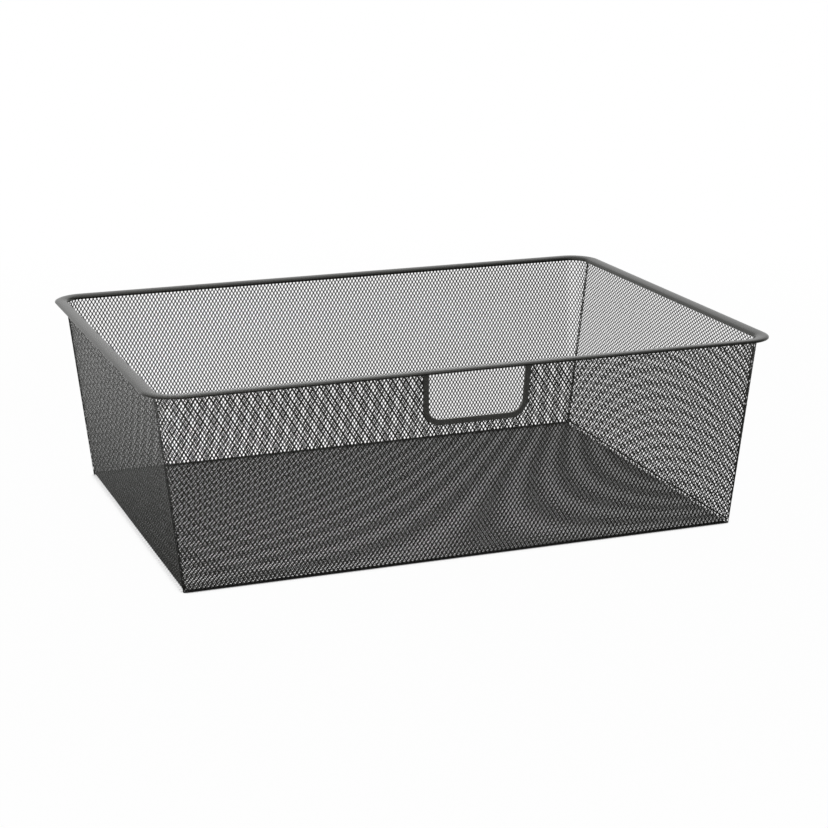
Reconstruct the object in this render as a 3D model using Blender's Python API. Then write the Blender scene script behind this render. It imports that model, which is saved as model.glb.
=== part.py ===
"""Mesh drawer basket: sheets of expanded mesh held in a rolled steel rim.

The basket stands on the XY plane with its middle on the Z axis. X runs from
left to right and the hand cut-out is in the front wall, at -Y. Lengths are in
metres and are the sizes of the real basket. Only the diamonds of the mesh are
drawn larger than life, NET_SCALE times, with the openness of the real sheet.
"""

from math import asin, ceil, cos, copysign, hypot, pi, radians, sin, sqrt, tan

import bmesh
import bpy
from mathutils import Matrix, Vector

MM = 0.001
QUARTER = pi / 2

# Overall size, over the rim
WIDTH = 605 * MM
DEPTH = 430 * MM
HEIGHT = 187 * MM

# Foot of the walls, over the outer faces of the front and back panels
SIDE_TAPER = 31.2 * MM
END_TAPER = 28.3 * MM
FOOT_WIDTH = WIDTH - 2 * SIDE_TAPER
FOOT_DEPTH = DEPTH - 2 * END_TAPER
FOOT_CORNER_RADIUS = 2 * MM

# Sheet metal and fits
SHEET = 0.6 * MM
GAP = 0.3 * MM
LAP = SHEET + GAP
MERGE = 0.02 * MM

# Rim section
RIM_CORNER_RADIUS = 31 * MM
FLANGE_FLAT = 9.6 * MM
FLANGE_THICKNESS = 2.4 * MM
ROLL_RADIUS = 3.4 * MM
HEM_LEAF = 0.6 * MM
HEM_LIP = 0.5 * MM

# Folds and tabs of the U-shaped sheet
FLOOR_FOLD_RADIUS = 3.5 * MM
TAB_FOLD_RADIUS = 1.1 * MM
TAB_WIDTH = 2.5 * MM
TAB_RELIEF = 1.5 * MM

# Hand cut-out, measured inside its trim
HANDLE_WIDTH = 93 * MM
HANDLE_FOOT_WIDTH = 90 * MM
HANDLE_HEIGHT = 45 * MM
HANDLE_CORNER_RADIUS = 12 * MM

# Trim of the cut-out
TRIM_WALL = 0.6 * MM
TRIM_DEPTH = 5.3 * MM
TRIM_INNER = SHEET / 2 + GAP
TRIM_OUTER = TRIM_INNER + TRIM_WALL

# Expanded mesh
MESH_SHORT_WAY = 4.1 * MM
MESH_LONG_WAY = 6.2 * MM
MESH_STRAND = 1.0 * MM
NET_SCALE = 12
LEAST_GAP_SHARE = 0.1

# Steps in the round shapes, and the turn from which an edge shows as sharp
CORNER_STEPS = 6
FOLD_STEPS = 4
NOSE_STEPS = 4
ROLL_STEPS = 5
SHARP_TURN = radians(30)

# Powder coats
RIM_COLOUR = (0.065, 0.065, 0.064)
TRIM_COLOUR = (0.055, 0.055, 0.054)
MESH_COLOUR = (0.065, 0.065, 0.064)
FLOOR_COLOUR = (0.06, 0.06, 0.059)
COAT_ROUGHNESS = 0.3
COAT_METALLIC = 0.55

# The slot of the hem holds the edges of two lapped sheets
SLOT_WIDTH = 2 * SHEET + 3 * GAP
RIM_INSIDE = FLANGE_FLAT + ROLL_RADIUS
SLOT_INSIDE = RIM_INSIDE - HEM_LEAF
SLOT_OUTSIDE = SLOT_INSIDE - SLOT_WIDTH
HEM_DROP = ROLL_RADIUS + HEM_LIP
SLOT_ROOF = ROLL_RADIUS - sqrt(ROLL_RADIUS ** 2 - (ROLL_RADIUS - HEM_LEAF) ** 2) + HEM_LEAF

# Walls, from the floor to their upper edge in the slot
MESH_INSET = SLOT_OUTSIDE + GAP
WALL_TOP = HEIGHT - SLOT_ROOF - GAP
TOP_WIDTH = WIDTH - 2 * MESH_INSET
TOP_DEPTH = DEPTH - 2 * MESH_INSET
TOP_CORNER_RADIUS = RIM_CORNER_RADIUS - MESH_INSET
SIDE_LEAN = (TOP_WIDTH - FOOT_WIDTH) / 2 / WALL_TOP
FRONT_LEAN = (TOP_DEPTH - FOOT_DEPTH) / 2 / WALL_TOP
SIDE_SLOPE = hypot(1, SIDE_LEAN)
FRONT_SLOPE = hypot(1, FRONT_LEAN)

# The diamonds of the nets
NET_SHORT_WAY = NET_SCALE * MESH_SHORT_WAY
NET_LONG_WAY = NET_SCALE * MESH_LONG_WAY
NET_STRAND = NET_SCALE * MESH_STRAND
NET_BORDER = NET_STRAND / 2


def clear_scene():
    for thing in list(bpy.data.objects):
        bpy.data.objects.remove(thing, do_unlink=True)


def new_collection(name):
    collection = bpy.data.collections.new(name)
    bpy.context.scene.collection.children.link(collection)
    return collection


def coating(name, colour):
    """A satin powder coat in one colour."""
    material = bpy.data.materials.new(name)
    material.use_nodes = True
    shader = material.node_tree.nodes["Principled BSDF"]
    shader.inputs["Base Color"].default_value = (*colour, 1)
    shader.inputs["Roughness"].default_value = COAT_ROUGHNESS
    shader.inputs["Metallic"].default_value = COAT_METALLIC
    material.diffuse_color = (*colour, 1)
    return material


def between(low, high, share):
    return low + (high - low) * share


def arc(centre, radius, start, end, steps):
    """Points on an arc, both ends included."""
    turns = [between(start, end, step / steps) for step in range(steps + 1)]
    return [(centre[0] + radius * cos(turn), centre[1] + radius * sin(turn)) for turn in turns]


# Outline of the walls


class Wall:
    """One wall of the basket, seen from outside with its foot at the bottom.

    A place on the wall's flat pattern is (along, up): along runs round the
    basket from the middle of the wall, up runs up its slope. Past the straight
    stretch the pattern follows the tapering corner, and then the next wall.
    """

    def __init__(self, turn, front, inset):
        widths = (FOOT_WIDTH, TOP_WIDTH) if front else (FOOT_DEPTH, TOP_DEPTH)
        depths = (FOOT_DEPTH, TOP_DEPTH) if front else (FOOT_WIDTH, TOP_WIDTH)
        radii = (FOOT_CORNER_RADIUS, TOP_CORNER_RADIUS)
        self.turn = Matrix.Rotation(turn, 3, "Z")
        self.straights = [width / 2 - radius for width, radius in zip(widths, radii)]
        self.radii = [radius - inset for radius in radii]
        self.reaches = [depth / 2 - inset for depth in depths]
        self.slope = FRONT_SLOPE if front else SIDE_SLOPE
        self.length = WALL_TOP * self.slope

    def generator(self, share):
        """How far along the pattern the corner has turned by a share, at the foot and the top."""
        return [
            straight + radius * QUARTER * share
            for straight, radius in zip(self.straights, self.radii)
        ]

    def place(self, along, up, deep=0):
        """The point in the basket for a place on the flat pattern, some way into the sheet."""
        share = up / self.length
        straight = between(*self.straights, share)
        radius = between(*self.radii, share)
        centre = between(*self.reaches, share) - radius
        turned = min(max(abs(along) - straight, 0), radius * QUARTER)
        past = abs(along) - turned - min(abs(along), straight)
        turn = turned / radius
        radius -= deep * self.slope
        side = min(abs(along), straight) + radius * sin(turn)
        out = centre + radius * cos(turn) - past
        return self.turn @ Vector((copysign(side, along), -out, share * WALL_TOP))


# Flat patterns


def clip(polygon, point, inward):
    """The part of a convex polygon on the inward side of a line through a point."""
    kept = []
    for start, end in zip(polygon, polygon[1:] + polygon[:1]):
        before = (start - point).dot(inward)
        after = (end - point).dot(inward)
        if before >= 0:
            kept.append(start)
        if before * after < 0:
            kept.append(start.lerp(end, before / (before - after)))
    return kept


def area(polygon):
    pairs = zip(polygon, polygon[1:] + polygon[:1])
    return sum(start.cross(end) for start, end in pairs) / 2


def side_lines(polygon, margin):
    """For each side of an anticlockwise polygon, a point and the inward normal, moved in."""
    lines = []
    for start, end in zip(polygon, polygon[1:] + polygon[:1]):
        inward = (end - start).orthogonal().normalized()
        lines.append((start + inward * margin, inward))
    return lines


def diamond_gaps(field, across, upward, obstacle=None):
    """The gaps of a net of diamonds in a convex field, round a convex obstacle."""
    spacing = across * upward / hypot(across, upward)
    open_share = 1 - NET_STRAND / spacing
    half_across = across / 2 * open_share
    half_upward = upward / 2 * open_share
    full = 2 * half_across * half_upward
    walls = side_lines(field, NET_BORDER)
    columns = ceil(max(abs(corner.x) for corner in field) / across * 2)
    rows = ceil(max(abs(corner.y) for corner in field) / upward * 2)
    gaps = []
    for row in range(-rows, rows + 1):
        for column in range(-columns, columns + 1):
            if (row + column) % 2 == 0:
                continue
            centre = Vector((column * across / 2, row * upward / 2))
            gap = [
                centre + Vector((half_across, 0)),
                centre + Vector((0, half_upward)),
                centre - Vector((half_across, 0)),
                centre - Vector((0, half_upward)),
            ]
            for point, inward in walls:
                gap = clip(gap, point, inward)
            if obstacle and gap:
                sides = side_lines(obstacle, -NET_BORDER)
                gap = max((clip(gap, point, -inward) for point, inward in sides), key=area)
            if len(gap) > 2 and area(gap) > full * LEAST_GAP_SHARE:
                gaps.append(gap)
    return gaps


def spline(curve, points, closed=True):
    line = curve.splines.new("POLY")
    line.points.add(len(points) - 1)
    for knot, point in zip(line.points, points):
        knot.co = (*point, 0, 1)
    line.use_cyclic_u = closed


def flat_pattern(name, outline, gaps):
    """The flat sheet, filled between its outline and its gaps, with its outer face up."""
    curve = bpy.data.curves.new(name + "_pattern", "CURVE")
    curve.dimensions = "2D"
    curve.fill_mode = "BOTH"
    curve.extrude = SHEET / 2
    spline(curve, outline)
    for gap in gaps:
        spline(curve, gap)
    guide = bpy.data.objects.new(name + "_pattern", curve)
    bpy.context.scene.collection.objects.link(guide)
    seen = guide.evaluated_get(bpy.context.evaluated_depsgraph_get())
    mesh = bpy.data.meshes.new_from_object(seen)
    bpy.data.objects.remove(guide, do_unlink=True)
    bpy.data.curves.remove(curve)
    mesh.name = name
    return mesh


def folded_sheet(name, outline, gaps, folds, place, material, collection):
    """A net cut to its flat pattern, scored along its folds and bent."""
    mesh = flat_pattern(name, outline, gaps)
    form = bmesh.new()
    form.from_mesh(mesh)
    bmesh.ops.remove_doubles(form, verts=form.verts[:], dist=MERGE)
    for start, end in folds:
        bmesh.ops.bisect_plane(
            form,
            geom=form.verts[:] + form.edges[:] + form.faces[:],
            dist=MERGE,
            plane_co=start.to_3d(),
            plane_no=(end - start).orthogonal().normalized().to_3d(),
        )
    bmesh.ops.triangulate(form, faces=form.faces[:])
    for vertex in form.verts:
        along, up, face = vertex.co
        vertex.co = place(along, up, SHEET / 2 - face)
    form.normal_update()
    form.to_mesh(mesh)
    form.free()
    return finish(name, mesh, material, collection)


def corner_folds(wall, length):
    """The straight lines on the pattern along which a sheet bends round both corners."""
    folds = []
    for step in range(CORNER_STEPS + 1):
        foot, top = wall.generator(step / CORNER_STEPS)
        for side in (-1, 1):
            folds.append((Vector((side * foot, 0)), Vector((side * top, length))))
    return folds


# Walls


def cut_out(margin):
    """Outline of the hand cut-out on the front wall, widened by a margin, and its top corners.

    It runs from the upper right corner down, across and up to the upper left one.
    """
    top = (HEIGHT - HEM_DROP) * FRONT_SLOPE
    foot = top - HANDLE_HEIGHT
    draft = (HANDLE_WIDTH - HANDLE_FOOT_WIDTH) / 2 / HANDLE_HEIGHT
    tilt = asin(draft / hypot(1, draft))
    radius = HANDLE_CORNER_RADIUS
    height = foot + radius
    side = HANDLE_FOOT_WIDTH / 2 + draft * radius - radius * hypot(1, draft)
    right = arc((side, height), radius + margin, -tilt, -QUARTER, CORNER_STEPS)
    left = [(-along, up) for along, up in reversed(right)]
    return right + left, draft


def cut_out_path(margin, top):
    """The cut-out's outline, led up both legs to a height on the slope."""
    bottom, draft = cut_out(margin)
    along, up = bottom[0]
    end = along + (top - up) * draft
    return [(end, top)] + bottom + [(-end, top)]


def end_panel(name, turn, material, collection, opening=None):
    """The front or back panel, wrapped round its two tapering corners."""
    wall = Wall(turn, True, 0)
    length = wall.length
    foot, top = wall.generator(1)
    field = [Vector((-foot, 0)), Vector((foot, 0)), Vector((top, length)), Vector((-top, length))]
    outline = field
    obstacle = None
    if opening:
        notch = [Vector(point) for point in opening]
        outline = field[:3] + notch + field[3:]
        obstacle = notch[::-1]
    middle = Vector((0, length / 2))
    centred = [corner - middle for corner in field]
    block = [corner - middle for corner in obstacle] if obstacle else None
    gaps = diamond_gaps(centred, NET_SHORT_WAY, NET_LONG_WAY, block)
    gaps = [[corner + middle for corner in gap] for gap in gaps]
    folds = corner_folds(wall, length)[:-2]
    return folded_sheet(name, outline, gaps, folds, wall.place, material, collection)


def side_panel(name, turn, material, collection):
    """A side wall of the U-shaped sheet, from the end of the floor's fold to the rim."""
    wall = Wall(turn, False, LAP)
    length = wall.length
    low = fold_setback(FLOOR_FOLD_RADIUS, SIDE_LEAN) + GAP
    foot, top = wall.generator(0)
    start = between(foot, top, low / length)
    field = [
        Vector((-start, low)),
        Vector((start, low)),
        Vector((top, length)),
        Vector((-top, length)),
    ]
    tab = Vector((TAB_WIDTH, 0))
    outline = [field[0] - tab, field[1] + tab, field[2] + tab, field[3] - tab]
    middle = Vector((0, (low + length) / 2))
    centred = [corner - middle for corner in field]
    gaps = diamond_gaps(centred, NET_LONG_WAY, NET_SHORT_WAY)
    gaps = [[corner + middle for corner in gap] for gap in gaps]
    folds = corner_folds(wall, length)
    return folded_sheet(name, outline, gaps, folds, wall.place, material, collection)


# Floor


def fold_turn(lean):
    """The angle through which a sheet turns from the floor into a leaning wall."""
    return asin(1 / hypot(1, lean))


def fold_setback(radius, lean):
    """How far a fold reaches from the foot of the wall, on the floor and up the wall."""
    return radius * tan(fold_turn(lean) / 2)


class Fold:
    """Section of the floor sheet from its middle, over one fold and up the wall."""

    def __init__(self, reach, radius, lean):
        self.turn = fold_turn(lean)
        self.radius = radius
        self.start = reach - fold_setback(radius, lean)
        self.end = self.start + radius * self.turn

    def place(self, distance, deep):
        """How far out and how high a place along the sheet is, some way into it."""
        size = abs(distance)
        turned = min(max(size - self.start, 0) / self.radius, self.turn)
        past = max(size - self.end, 0)
        radius = self.radius - deep
        out = min(size, self.start) + radius * sin(turned) + past * cos(self.turn)
        height = self.radius - radius * cos(turned) + past * sin(self.turn)
        return copysign(out, distance), height

    def lines(self):
        steps = range(FOLD_STEPS + 1)
        return [between(self.start, self.end, step / FOLD_STEPS) for step in steps]


def floor_panel(name, material, collection):
    """The floor seen from below, with a fold up each side and a tab up the front and the back."""
    sideways = Fold(FOOT_WIDTH / 2 - LAP, FLOOR_FOLD_RADIUS, SIDE_LEAN)
    endways = Fold(FOOT_DEPTH / 2 - LAP, TAB_FOLD_RADIUS, FRONT_LEAN)
    tab_half = FOOT_WIDTH / 2 - LAP - TAB_WIDTH - TAB_RELIEF
    tab_end = endways.start + TAB_WIDTH
    crease = FOOT_DEPTH / 2 - FOOT_CORNER_RADIUS
    quarter = [
        (sideways.end, crease),
        (sideways.start, crease),
        (sideways.start, endways.start),
        (tab_half, endways.start),
        (tab_half, tab_end),
    ]
    outline = quarter + [(-along, back) for along, back in reversed(quarter)]
    outline += [(-along, -back) for along, back in outline]
    side, end = sideways.start, endways.start
    field = [Vector((-side, -end)), Vector((side, -end)), Vector((side, end)), Vector((-side, end))]
    gaps = diamond_gaps(field, NET_SHORT_WAY, NET_LONG_WAY)
    folds = []
    for sign in (-1, 1):
        for line in sideways.lines():
            folds.append((Vector((sign * line, -crease)), Vector((sign * line, crease))))
        for line in endways.lines():
            folds.append((Vector((-side, sign * line)), Vector((side, sign * line))))

    def place(along, forward, deep):
        out, rise = sideways.place(along, deep)
        far, lift = endways.place(forward, deep)
        return Vector((out, -far, rise + lift - deep))

    return folded_sheet(name, outline, gaps, folds, place, material, collection)


# Rim and trim


def rim_section():
    """The rim's section, as places inward from its outer edge and down from its top."""
    nose = FLANGE_THICKNESS / 2
    lean = (SIDE_LEAN + FRONT_LEAN) / 2
    shift = lean * (HEM_DROP - SLOT_ROOF)
    outer_leaf = SLOT_OUTSIDE - HEM_LEAF
    section = arc((nose, -nose), nose, 3 * QUARTER, QUARTER, NOSE_STEPS)
    section += arc((FLANGE_FLAT, -ROLL_RADIUS), ROLL_RADIUS, QUARTER, 0, ROLL_STEPS)
    section += [
        (RIM_INSIDE + shift, -HEM_DROP),
        (SLOT_INSIDE + shift, -HEM_DROP),
        (SLOT_INSIDE, -SLOT_ROOF),
        (SLOT_OUTSIDE, -SLOT_ROOF),
        (SLOT_OUTSIDE + shift, -HEM_DROP),
        (outer_leaf + shift, -HEM_DROP),
        (outer_leaf, -FLANGE_THICKNESS),
    ]
    return section


def rounded_rectangle(width, depth, radius):
    corners = []
    across, back = width / 2 - radius, depth / 2 - radius
    for corner, (x, y) in enumerate([(across, back), (-across, back), (-across, -back), (across, -back)]):
        start = corner * QUARTER
        corners += arc((x, y), radius, start, start + QUARTER, CORNER_STEPS)
    return corners


def swept(name, section, path, closed, matrix, guides):
    """A section swept along a flat path, as one closed mesh."""
    profile = bpy.data.curves.new(name + "_section", "CURVE")
    profile.dimensions = "2D"
    spline(profile, section)
    guide = bpy.data.objects.new(name + "_section", profile)
    guide.hide_render = True
    guide.display_type = "WIRE"
    guides.objects.link(guide)
    curve = bpy.data.curves.new(name + "_path", "CURVE")
    curve.dimensions = "2D"
    curve.fill_mode = "NONE"
    curve.bevel_mode = "OBJECT"
    curve.bevel_object = guide
    curve.use_fill_caps = not closed
    spline(curve, path, closed)
    carrier = bpy.data.objects.new(name + "_path", curve)
    bpy.context.scene.collection.objects.link(carrier)
    seen = carrier.evaluated_get(bpy.context.evaluated_depsgraph_get())
    mesh = bpy.data.meshes.new_from_object(seen)
    bpy.data.objects.remove(carrier, do_unlink=True)
    bpy.data.curves.remove(curve)
    mesh.name = name
    form = bmesh.new()
    form.from_mesh(mesh)
    bmesh.ops.remove_doubles(form, verts=form.verts[:], dist=MERGE)
    bmesh.ops.recalc_face_normals(form, faces=form.faces[:])
    form.transform(matrix)
    form.to_mesh(mesh)
    form.free()
    return mesh


def rim(material, collection, guides):
    path = rounded_rectangle(WIDTH, DEPTH, RIM_CORNER_RADIUS)
    mesh = swept("rim", rim_section(), path, True, Matrix.Translation((0, 0, HEIGHT)), guides)
    return finish("rim", mesh, material, collection)


def trim_section():
    """The trim's U-section, as places from the clear edge of the cut-out and off its middle."""
    centre = (TRIM_OUTER, 0)
    section = arc(centre, TRIM_OUTER, 3 * QUARTER, QUARTER, 2 * NOSE_STEPS)
    section += [(TRIM_DEPTH, TRIM_OUTER), (TRIM_DEPTH, TRIM_INNER)]
    section += arc(centre, TRIM_INNER, QUARTER, 3 * QUARTER, 2 * NOSE_STEPS)
    section += [(TRIM_DEPTH, -TRIM_INNER), (TRIM_DEPTH, -TRIM_OUTER)]
    return section


def handle_trim(material, collection, guides):
    top = (HEIGHT - HEM_DROP - GAP) * FRONT_SLOPE
    tipped = TRIM_WALL * FRONT_LEAN
    path = cut_out_path(0, top - tipped)
    wall = Wall(0, True, SHEET / 2)
    foot, head = wall.place(0, 0), wall.place(0, top)
    upward = (head - foot).normalized()
    outward = Vector((1, 0, 0)).cross(upward)
    matrix = Matrix((Vector((1, 0, 0)), upward, outward)).transposed().to_4x4()
    matrix.translation = foot
    mesh = swept("handle_trim", trim_section(), path[::-1], False, matrix, guides)
    return finish("handle_trim", mesh, material, collection)


def finish(name, mesh, material, collection):
    mesh.materials.append(material)
    mesh.shade_smooth()
    mesh.set_sharp_from_angle(angle=SHARP_TURN)
    piece = bpy.data.objects.new(name, mesh)
    collection.objects.link(piece)
    return piece


def main():
    clear_scene()
    basket = new_collection("mesh_drawer_basket")
    guides = new_collection("sections")
    rim_coat = coating("rim_coat", RIM_COLOUR)
    trim_coat = coating("trim_coat", TRIM_COLOUR)
    mesh_coat = coating("mesh_coat", MESH_COLOUR)
    floor_coat = coating("floor_coat", FLOOR_COLOUR)
    rim(rim_coat, basket, guides)
    top = WALL_TOP * FRONT_SLOPE
    end_panel("front_mesh", 0, mesh_coat, basket, cut_out_path(TRIM_OUTER, top))
    end_panel("back_mesh", pi, mesh_coat, basket)
    side_panel("right_mesh", QUARTER, mesh_coat, basket)
    side_panel("left_mesh", -QUARTER, mesh_coat, basket)
    floor_panel("floor_mesh", floor_coat, basket)
    handle_trim(trim_coat, basket, guides)


main()
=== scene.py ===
"""The looks of a mesh drawer basket: true expanded mesh, rolled rim, trim and stage.

It is laid out as a Blender add-on with one operator for each group of like
pieces, and is run as a script. Lengths are in metres, in the frame of the
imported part: X to the right, the front with its hand cut-out at -Y, Z up.
"""

from math import asin, ceil, cos, floor, hypot, pi, radians, sin, sqrt, tan

import bmesh
import bpy
import numpy as np
from bpy.props import FloatProperty, FloatVectorProperty, PointerProperty
from bpy.types import Operator, Panel, PropertyGroup
from mathutils import Matrix, Vector


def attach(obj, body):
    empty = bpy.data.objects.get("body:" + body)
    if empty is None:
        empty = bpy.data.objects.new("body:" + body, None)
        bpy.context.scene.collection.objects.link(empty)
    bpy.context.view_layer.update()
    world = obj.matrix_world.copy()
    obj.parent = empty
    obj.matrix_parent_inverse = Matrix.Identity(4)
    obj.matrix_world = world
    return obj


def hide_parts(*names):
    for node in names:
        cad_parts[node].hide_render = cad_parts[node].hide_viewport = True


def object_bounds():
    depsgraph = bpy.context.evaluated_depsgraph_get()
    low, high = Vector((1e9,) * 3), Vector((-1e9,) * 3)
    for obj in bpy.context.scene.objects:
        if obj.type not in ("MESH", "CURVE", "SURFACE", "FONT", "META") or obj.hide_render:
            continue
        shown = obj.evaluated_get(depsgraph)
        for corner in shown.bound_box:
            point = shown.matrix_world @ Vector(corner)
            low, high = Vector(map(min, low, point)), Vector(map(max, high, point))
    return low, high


bl_info = {
    "name": "Mesh drawer basket",
    "version": (1, 0, 0),
    "blender": (4, 5, 0),
    "location": "3D View > Sidebar > Basket",
    "description": "Dresses the packed mesh drawer basket with true mesh, coats and a stage",
    "category": "Object",
}

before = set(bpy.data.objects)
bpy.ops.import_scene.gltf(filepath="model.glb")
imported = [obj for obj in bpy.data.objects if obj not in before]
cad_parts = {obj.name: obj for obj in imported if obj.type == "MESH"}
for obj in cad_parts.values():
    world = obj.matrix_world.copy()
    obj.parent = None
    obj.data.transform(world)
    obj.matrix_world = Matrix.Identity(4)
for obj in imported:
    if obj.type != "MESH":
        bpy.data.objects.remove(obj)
CAD_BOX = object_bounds()

MM = 0.001
QUARTER = pi / 2
UP = (0, 0, 1)
MERGE = 0.004 * MM
WHOLE_LOW, WHOLE_HIGH = CAD_BOX
WIDTH, DEPTH, HEIGHT = WHOLE_HIGH - WHOLE_LOW

# Foot of the walls and the sheet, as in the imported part
FOOT_WIDTH = 542.6 * MM
FOOT_DEPTH = 373.4 * MM
FOOT_CORNER_RADIUS = 2 * MM
SHEET = 0.6 * MM
GAP = 0.3 * MM
LAP = SHEET + GAP

# Rim section
RIM_CORNER_RADIUS = 31 * MM
FLANGE_FLAT = 9.6 * MM
FLANGE_THICKNESS = 2.4 * MM
ROLL_RADIUS = 3.4 * MM
HEM_LEAF = 0.6 * MM
HEM_LIP = 0.5 * MM
SLOT_WIDTH = 2 * SHEET + 3 * GAP
RIM_INSIDE = FLANGE_FLAT + ROLL_RADIUS
SLOT_INSIDE = RIM_INSIDE - HEM_LEAF
SLOT_OUTSIDE = SLOT_INSIDE - SLOT_WIDTH
HEM_DROP = ROLL_RADIUS + HEM_LIP
SLOT_ROOF = ROLL_RADIUS - sqrt(ROLL_RADIUS**2 - (ROLL_RADIUS - HEM_LEAF) ** 2) + HEM_LEAF

# Walls
MESH_INSET = SLOT_OUTSIDE + GAP
WALL_TOP = HEIGHT - SLOT_ROOF - GAP
TOP_WIDTH = WIDTH - 2 * MESH_INSET
TOP_DEPTH = DEPTH - 2 * MESH_INSET
TOP_CORNER_RADIUS = RIM_CORNER_RADIUS - MESH_INSET
SIDE_LEAN = (TOP_WIDTH - FOOT_WIDTH) / 2 / WALL_TOP
FRONT_LEAN = (TOP_DEPTH - FOOT_DEPTH) / 2 / WALL_TOP
SIDE_SLOPE = hypot(1, SIDE_LEAN)
FRONT_SLOPE = hypot(1, FRONT_LEAN)

# Folds and tabs of the U-shaped sheet
FLOOR_FOLD_RADIUS = 3.5 * MM
TAB_FOLD_RADIUS = 1.1 * MM
TAB_WIDTH = 2.5 * MM
TAB_RELIEF = 1.5 * MM

# Hand cut-out, measured inside its trim, and the trim
HANDLE_WIDTH = 93 * MM
HANDLE_FOOT_WIDTH = 90 * MM
HANDLE_HEIGHT = 45 * MM
HANDLE_CORNER_RADIUS = 12 * MM
HANDLE_DRAFT = (HANDLE_WIDTH - HANDLE_FOOT_WIDTH) / 2 / HANDLE_HEIGHT
TRIM_WALL = 0.6 * MM
TRIM_DEPTH = 5.3 * MM
TRIM_INNER = SHEET / 2 + GAP
TRIM_OUTER = TRIM_INNER + TRIM_WALL

# Plain edges of the sheets, which take a second material of painted shade, dark for the shadow
# lines along creases, folds and seams, and the flatter mesh beside them
EDGE_SHADE_SLOT = 1
PANEL_BORDER = 1.5 * MM
TRAY_BORDER = 0.7 * MM
BORDER_CUTS = 400
PRESSED_WIDTH = 7 * MM
PRESSED_SHARE = 0.25

# Pieces of the floor, steps round a corner of the hand cut-out, and how far cuts run past
FLOOR_PIECES = 4
NOTCH_STEPS = 8
OVERRUN = 7 * MM

# Crown of the rim, from roll to nose: how far in from the edge, how far down, how far rounded
RIM_CROWN = (
    (RIM_INSIDE, 2.5 * MM, 1 * MM),
    (11.8 * MM, 1.05 * MM, 0.85 * MM),
    (8.8 * MM, 0.32 * MM, 1.6 * MM),
    (4.5 * MM, 0, 1.4 * MM),
    (1.8 * MM, 0.28 * MM, 1 * MM),
    (0, 1.2 * MM, 0.65 * MM),
)
RIM_NOSE_RADIUS = 0.5 * MM
HEM_ROOF = 2.3 * MM

# Roundness of the rim and the trim
NEARLY_HALF = 0.48
NOSE_STEPS = 6
CROWN_STEPS = 5
HEM_STEPS = 3
HEM_FILLET = 0.4 * MM
RIM_BEND_STEPS = 20
TRIM_ROUNDNESS = 0.9
ARC_PROFILE = 0.5
SHARP_TURN = radians(40)

# Coats: how metallic, height of the peel, clouds of tone, flecks, and the smoothest roughness
COATS = {
    "mesh": (0.55, 0.01 * MM, 0.08, 0.12, 0.22),
    "rim": (0.55, 0.012 * MM, 0.06, 0.1, 0.22),
    "trim": (0.55, 0.012 * MM, 0.1, 0.1, 0.22),
    # The edge coat is painted shade: dark, not metallic and dull, so the sheets' edges read as
    # shadow lines
    "edge": (0, 0.012 * MM, 0.1, 0.1, 0.55),
}
COAT_SPECULAR = 0.5
ROUGHNESS_RANGE = 0.1
CLOUD_SCALE = 14
CLOUD_DETAIL = 3
FLECK_SCALE = 2600
PEEL_SCALE = 1400
PEEL_DETAIL = 2

# Stage
AIM = (0, 0, 0.09)
OVERHEAD_PLACE = (-0.25, 0.15, 1.5)
OVERHEAD_SIZE = (2.2, 2)
FRONT_PLACE = (-1.1, -1.6, 1.1)
FRONT_SIZE = (1.2, 0.9)
WHITE = (1, 1, 1, 1)
GROUND_RADIUS = 12
GROUND_SEGMENTS = 96
GROUND_DROP = 0.2 * MM
GROUND_COLOUR = (0.8, 0.8, 0.8)
GROUND_ROUGHNESS = 0.9
GROUND_WHITE = 0.98
SHADOW_REACH = 0.6
WHITE_REACH = 1.4
DIM_SIDE = (-0.06, -0.78, 0.57)
DIM_FROM = -0.57
DIM_TO = 0.18
DIM_LEVEL = 0.08
WINDOW_FROM = 0.82
WINDOW_TO = 0.92
# Painted contact shade on the floor: how far the occlusion reaches, where it is fully open and
# fully closed, and the darkest it paints
CONTACT_REACH = 15 * MM
CONTACT_OPEN = 0.7
CONTACT_CLOSED = 0.4
CONTACT_DARK = 0.05

# Camera: the photograph's size and viewing angle, the sensor in millimetres, and the place
IMAGE_SIDE = 828
FOCAL_PIXELS = 2086.38
SHIFT_PIXELS = 0.4
SENSOR_WIDTH = 36
NEAREST = 0.1
FARTHEST = 50
CAMERA_YAW = radians(20.5099)
CAMERA_PITCH = radians(15.8669)
CAMERA_ROLL = radians(-0.0932)
CAMERA_PLACE = Vector((-0.68523, -1.87227, 0.65361))


# Settings


def length_setting(name, description, default):
    """A length that the sidebar shows."""
    return FloatProperty(
        name=name, description=description, default=default, unit="LENGTH", precision=5
    )


def colour_setting(name, description, default):
    """A colour that the sidebar shows."""
    return FloatVectorProperty(
        name=name, description=description, default=default, subtype="COLOR", min=0, max=1
    )


class BasketMeshSizes(PropertyGroup):
    """Sizes of the expanded mesh."""

    front_short: length_setting(
        "Front short way", "Pitch of the openings across the front panel", 4.12 * MM
    )
    front_long: length_setting(
        "Front long way", "Pitch of the openings up the front panel", 6.4 * MM
    )
    back_short: length_setting(
        "Back short way", "Pitch of the openings across the back panel", 3.82 * MM
    )
    back_long: length_setting(
        "Back long way", "Pitch of the openings up the back panel", 6.2 * MM
    )
    tray_short: length_setting(
        "Tray short way", "Pitch of the openings across the U-shaped sheet", 4.1 * MM
    )
    tray_long: length_setting(
        "Tray long way", "Pitch of the openings along the U-shaped sheet", 6.15 * MM
    )
    strand: length_setting("Strand", "Width of one strand, with its coat", 0.85 * MM)
    back_strand: length_setting(
        "Back strand", "Width of one strand of the back panel, with its coat", 0.9 * MM
    )
    bond: length_setting("Bond", "Half the length of the flat where two strands meet", 0.3 * MM)
    thickness: length_setting("Thickness", "Thickness of the strands, with their coat", 0.36 * MM)
    relief: length_setting(
        "Relief", "How far the sides of a bond stand out of the sheet", 0.12 * MM
    )


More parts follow.
